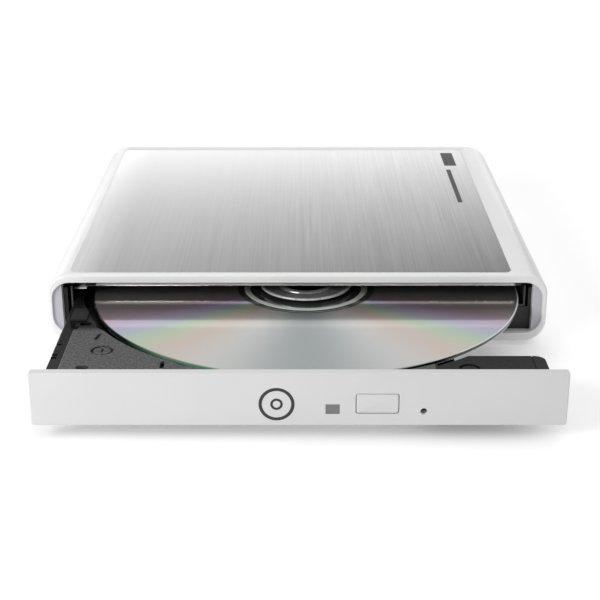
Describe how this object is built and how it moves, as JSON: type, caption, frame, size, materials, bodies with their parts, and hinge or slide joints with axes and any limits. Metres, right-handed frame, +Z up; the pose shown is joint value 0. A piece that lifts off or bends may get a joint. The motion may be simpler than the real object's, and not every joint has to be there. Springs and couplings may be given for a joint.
{
  "type": "external optical drive",
  "caption": "Slim external optical disc drive with a sliding tray, white sleeve case, brushed top plate and a disc on its spindle.",
  "frame": {"origin": "centre of the sleeve case's footprint on the desk, level with the bottoms of the rubber feet", "axes": "+X right as seen from the front, +Y to the back (the tray opens towards -Y), +Z up"},
  "size_m": [0.139, 0.1952, 0.0212],
  "materials": {
    "case_white": "satin gloss white ABS",
    "bezel_white": "fine spark texture, off-white ABS",
    "brushed_plate": "brushed front to back, clear anodised",
    "glue": "double-sided film",
    "black_plastic": "moulded black, fine grain",
    "foot_rubber": "matt",
    "screw_steel": "zinc plated",
    "board_green": "solder mask, semi-gloss",
    "chip_black": "moulded epoxy",
    "tinned_steel": "tinned",
    "connector_black": "smooth moulded",
    "chassis_steel": "zinc coated pressed sheet",
    "spring_steel": "bright wire",
    "cable_film": "laminated flat cable",
    "tray_plastic": "coarse spark texture, dark grey",
    "lens_grey": "smoked translucent window",
    "solenoid_black": "wound coil in moulded bobbin",
    "polished_steel": "ground shaft",
    "motor_steel": "plated cup",
    "copper_winding": "enamelled copper wire",
    "hub_plastic": "smooth acetal",
    "hub_metal": "polished cap",
    "disc_mirror": "metallised polycarbonate with a fine spiral track",
    "sled_metal": "die-cast",
    "lens_glass": "coated moulded lens"
  },
  "bodies": {
    "case": {"top_cover": "case_white", "bottom_cover": "case_white", "front_frame": "case_white", "top_plate": "brushed_plate", "plate_adhesive": "glue", "inner_frame": "black_plastic", "rubber_feet": "foot_rubber", "case_screws": "screw_steel", "drive_screws": "screw_steel", "bridge_board": "board_green", "bridge_components": "chip_black", "usb_socket_shell": "tinned_steel", "usb_socket_tongue": "connector_black", "dc_jack": "connector_black", "sata_receptacle": "connector_black", "chassis_bottom": "chassis_steel", "chassis_top": "chassis_steel", "rail_guide_left": "black_plastic", "rail_guide_right": "black_plastic", "latch_stud": "screw_steel", "ejector_pusher": "black_plastic", "ejector_spring": "spring_steel", "rear_board": "board_green", "rear_board_components": "chip_black", "sata_plug": "connector_black", "flat_cable_fixed": "cable_film"},
    "left_rail": {"rail_left": "chassis_steel", "flat_cable_fold": "cable_film"},
    "right_rail": {"rail_right": "chassis_steel"},
    "tray": {"tray": "tray_plastic", "tray_bezel": "bezel_white", "led_lens": "lens_grey", "switch_board": "board_green", "main_board": "board_green", "tray_board_components": "chip_black", "tray_bottom_cover": "chassis_steel", "tray_screws": "screw_steel", "latch_pivot": "screw_steel", "latch_spring": "spring_steel", "latch_solenoid": "solenoid_black", "flat_cable_tray": "cable_film", "traverse_frame": "chassis_steel", "traverse_cover": "motor_steel", "rubber_dampers": "foot_rubber", "guide_shafts": "polished_steel", "sled_motor": "motor_steel", "spindle_base": "motor_steel", "spindle_stator": "copper_winding"},
    "button": {"eject_button": "bezel_white"},
    "spindle": {"spindle_rotor": "motor_steel", "turntable_pad": "foot_rubber", "disc_claws": "hub_plastic", "hub_cap": "hub_metal", "disc": "disc_mirror"},
    "pickup": {"pickup_sled": "sled_metal", "pickup_cover": "hub_plastic", "objective_lens": "lens_glass"},
    "sled_drive": {"lead_screw": "polished_steel"},
    "latch": {"latch_lever": "hub_plastic"},
    "plunger": {"solenoid_plunger": "polished_steel"}
  },
  "joints": [
    {"name": "tray_slide", "type": "slide", "parent": "case", "child": "tray", "axis": [0, -1, 0], "range_m": [-0.0575, 0.0715]},
    {"name": "left_rail_slide", "type": "slide", "parent": "case", "child": "left_rail", "axis": [0, -1, 0], "range_m": [-0.02876, 0.03576]},
    {"name": "right_rail_slide", "type": "slide", "parent": "case", "child": "right_rail", "axis": [0, -1, 0], "range_m": [-0.02876, 0.03576]},
    {"name": "eject_press", "type": "slide", "parent": "tray", "child": "button", "axis": [0, 1, 0], "range_m": [0, 0.0005], "stiffness_N_per_m": 900},
    {"name": "spindle_spin", "type": "hinge", "parent": "tray", "child": "spindle", "pos_m": [0.00237, -0.0581, 0.012], "axis": [0, 0, 1], "continuous": true},
    {"name": "pickup_slide", "type": "slide", "parent": "tray", "child": "pickup", "axis": [-0.7071, -0.7071, 0], "range_m": [-0.0028, 0.0305]},
    {"name": "lead_screw_turn", "type": "hinge", "parent": "tray", "child": "sled_drive", "pos_m": [-0.03405, -0.06411, 0.008], "axis": [-0.7071, -0.7071, 0], "range_deg": [-340, 3665]},
    {"name": "latch_swing", "type": "hinge", "parent": "tray", "child": "latch", "pos_m": [0.029, -0.1042, 0.0076], "axis": [0, 0, 1], "range_deg": [-14.05, 0], "stiffness_Nm_per_rad": 0.01, "springref_deg": 2.86},
    {"name": "plunger_pull", "type": "slide", "parent": "tray", "child": "plunger", "axis": [0, 1, 0], "range_m": [0, 0.0011]}
  ],
  "couplings": [
    {"joint": "left_rail_slide", "follows": "tray_slide", "ratio": 0.5},
    {"joint": "right_rail_slide", "follows": "tray_slide", "ratio": 0.5},
    {"joint": "lead_screw_turn", "follows": "pickup_slide", "rad_per_m": 2094.4},
    {"joint": "latch_swing", "follows": "plunger_pull", "rad_per_m": -222.2}
  ]
}
